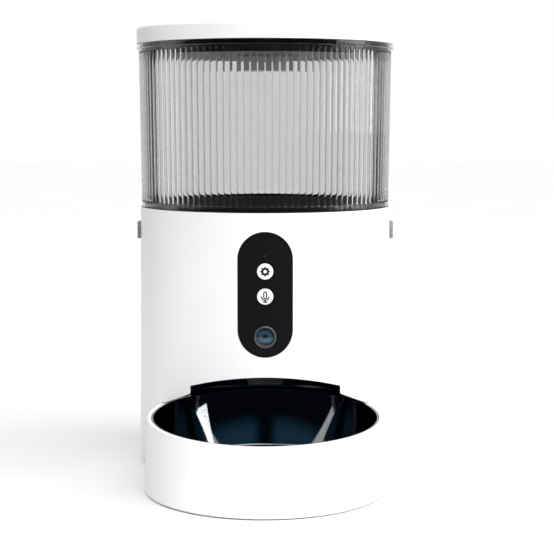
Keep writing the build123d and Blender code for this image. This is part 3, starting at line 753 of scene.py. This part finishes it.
CAMERA_PLACE = Vector((0.00105, -1.1081, 0.2624))    # metres from the foot of the tower's axis
CAMERA_DOWN = 0.1088             # radians that it looks down
CAMERA_TURN = -0.0072            # radians that it is turned to the right
WHITE = (1, 1, 1, 1)
CLOTH_GREY = (0.4, 0.4, 0.4, 1)
FRONT_BLACK = (0.004, 0.006, 0.01, 1)
FRONT_NAVY = (0.025, 0.075, 0.13, 1)


class FEEDER_OT_stage(bpy.types.Operator):
    """Set the camera, the floor and the studio light"""
    bl_idname = "feeder.stage"
    bl_label = "Set the stage"

    def execute(self, context):
        settings = context.scene.feeder_stage
        set_camera(context.scene, settings)
        lay_floor(context.scene)
        context.scene.world = studio_world(settings.sky)
        hang_lights(context.scene, settings)
        return {"FINISHED"}


def set_camera(scene, settings):
    """A long lens level with the hopper, looking slightly down."""
    lens = bpy.data.cameras.new("camera")
    lens.lens = settings.lens
    lens.sensor_width = 36
    lens.clip_start = 0.05
    lens.clip_end = 50
    camera = bpy.data.objects.new("camera", lens)
    scene.collection.objects.link(camera)
    camera.location = AXIS + CAMERA_PLACE
    camera.rotation_euler = Euler((math.radians(90) - CAMERA_DOWN, 0, CAMERA_TURN))
    scene.camera = camera
    scene.view_settings.view_transform = "Standard"


def lay_floor(scene):
    """A long pale sheet under the feeder, running far back behind it."""
    half_width, half_length, front_edge = 1.6, 4.0, -0.6
    bm = bmesh.new()
    bmesh.ops.create_grid(bm, x_segments=8, y_segments=24, size=1.0)
    bmesh.ops.scale(bm, vec=(half_width, half_length, 1.0), verts=bm.verts)
    bmesh.ops.translate(bm, vec=(0, half_length + front_edge, 0), verts=bm.verts)
    mesh = bpy.data.meshes.new("floor")
    bm.to_mesh(mesh)
    bm.free()
    floor = bpy.data.objects.new("floor", mesh)
    floor.location.z = CAD_LOW.z
    scene.collection.objects.link(floor)
    mesh.materials.append(studio_floor())


def studio_world(strength):
    """A studio that is white above, black and navy in front, and grey behind at the sides.

    The dark front is what the mirror dish and the black panel reflect. The grey cloths behind
    give the clear flutes their dark lines. Looked at directly, the room is plain white.
    """
    world = bpy.data.worlds.new("studio")
    world.use_nodes = True
    tree = world.node_tree
    sky = tree.nodes["Background"]
    sky.inputs["Strength"].default_value = strength

    def blend(factor, a, b):
        return result(add(tree, "ShaderNodeMix", {"Factor": factor, "A": a, "B": b}, data_type="RGBA"))

    towards = add(tree, "ShaderNodeTexCoord")
    split = add(tree, "ShaderNodeSeparateXYZ", {"Vector": towards.outputs["Generated"]})
    aside = add(tree, "ShaderNodeMath", {0: split.outputs["X"]}, operation="ABSOLUTE")
    lean = add(tree, "ShaderNodeMath", {0: split.outputs["Z"], 1: 1.2, 2: split.outputs["Y"]},
               operation="MULTIPLY_ADD")
    white = smooth_step(tree, lean.outputs["Value"], -0.16, -0.12)

    rear = smooth_step(tree, split.outputs["Y"], 0.25, 0.35)
    backdrop = smooth_step(tree, split.outputs["Y"], 0.86, 0.90)
    cloths = add(tree, "ShaderNodeMath", {0: rear, 1: backdrop}, operation="SUBTRACT")
    room = blend(cloths.outputs["Value"], WHITE, CLOTH_GREY)

    raised = smooth_step(tree, split.outputs["Z"], 0.18, 0.30)
    beside = smooth_step(tree, aside.outputs["Value"], 0.05, 0.3)
    glow = add(tree, "ShaderNodeMath", {0: raised, 1: beside}, operation="MULTIPLY")
    front = blend(glow.outputs["Value"], FRONT_BLACK, FRONT_NAVY)

    path = add(tree, "ShaderNodeLightPath")
    seen = blend(path.outputs["Is Camera Ray"], blend(white, front, room), WHITE)
    tree.links.new(seen, sky.inputs["Color"])
    return world


def hang_lights(scene, settings):
    """A soft box at the right, a broad silk overhead, and one in front for the pale shells only."""
    softbox = bpy.data.lights.new("key_softbox", "AREA")
    softbox.shape = "RECTANGLE"
    softbox.size, softbox.size_y = 1.0, 1.4
    softbox.energy = settings.key
    overhead = bpy.data.lights.new("overhead_silk", "SUN")
    overhead.energy = settings.overhead
    overhead.angle = math.radians(60)
    front = bpy.data.lights.new("front_silk", "SUN")
    front.energy = settings.front
    front.angle = math.radians(40)

    centre = (CAD_LOW + CAD_HIGH) / 2
    places = (
        (softbox, Vector((1.55, -0.25, 0.85))),
        (overhead, Vector((0.3, -0.7, 1.6))),
        (front, Vector((0.85, -1.8, 1.0))),
    )
    lamps = {}
    for light, place in places:
        lamp = bpy.data.objects.new(light.name, light)
        lamp.location = place
        lamp.rotation_euler = (centre - place).to_track_quat("-Z", "Y").to_euler()
        scene.collection.objects.link(lamp)
        lamp.visible_transmission = False    # no lamp is seen through the clear hopper
        lamps[light.name] = lamp

    # The front light is flagged off everything but the pale shells, so it leaves the steel
    # and the black panel dark and the floor's shadow soft.
    shells = bpy.data.collections.new("front_light_shells")
    for node, thing in frame["nodes"].items():
        if SLOT_OF[node] in ("white_shell", "white_button", "grey_plastic"):
            shells.objects.link(thing)
    lamps["front_silk"].light_linking.receiver_collection = shells


class FEEDER_PT_panel(bpy.types.Panel):
    """Sidebar panel with the feeder's settings and steps"""
    bl_idname = "FEEDER_PT_panel"
    bl_label = "Pet feeder"
    bl_space_type = "VIEW_3D"
    bl_region_type = "UI"
    bl_category = "Feeder"

    def draw(self, context):
        layout = self.layout
        for group in SETTINGS:
            settings = getattr(context.scene, group)
            for key in settings.bl_rna.properties.keys():
                if key not in ("rna_type", "name"):
                    layout.prop(settings, key)
        for operator in OPERATORS:
            layout.operator(operator.bl_idname)


SETTINGS = {
    "feeder_shell": FeederShell,
    "feeder_hopper": FeederHopper,
    "feeder_bowl": FeederBowl,
    "feeder_stage": FeederStage,
}
OPERATORS = (
    FEEDER_OT_stage,
    FEEDER_OT_shells,
    FEEDER_OT_hopper,
    FEEDER_OT_bowl,
    FEEDER_OT_icons,
    FEEDER_OT_camera_eye,
)


def register():
    for item in (*SETTINGS.values(), *OPERATORS, FEEDER_PT_panel):
        bpy.utils.register_class(item)
    for name, group in SETTINGS.items():
        setattr(bpy.types.Scene, name, PointerProperty(type=group))


def unregister():
    for name in SETTINGS:
        delattr(bpy.types.Scene, name)
    for item in (FEEDER_PT_panel, *reversed(OPERATORS), *reversed(SETTINGS.values())):
        bpy.utils.unregister_class(item)


def main():
    register()
    for operator in OPERATORS:
        group, name = operator.bl_idname.split(".")
        getattr(getattr(bpy.ops, group), name)()


if __name__ == "__main__":
    main()
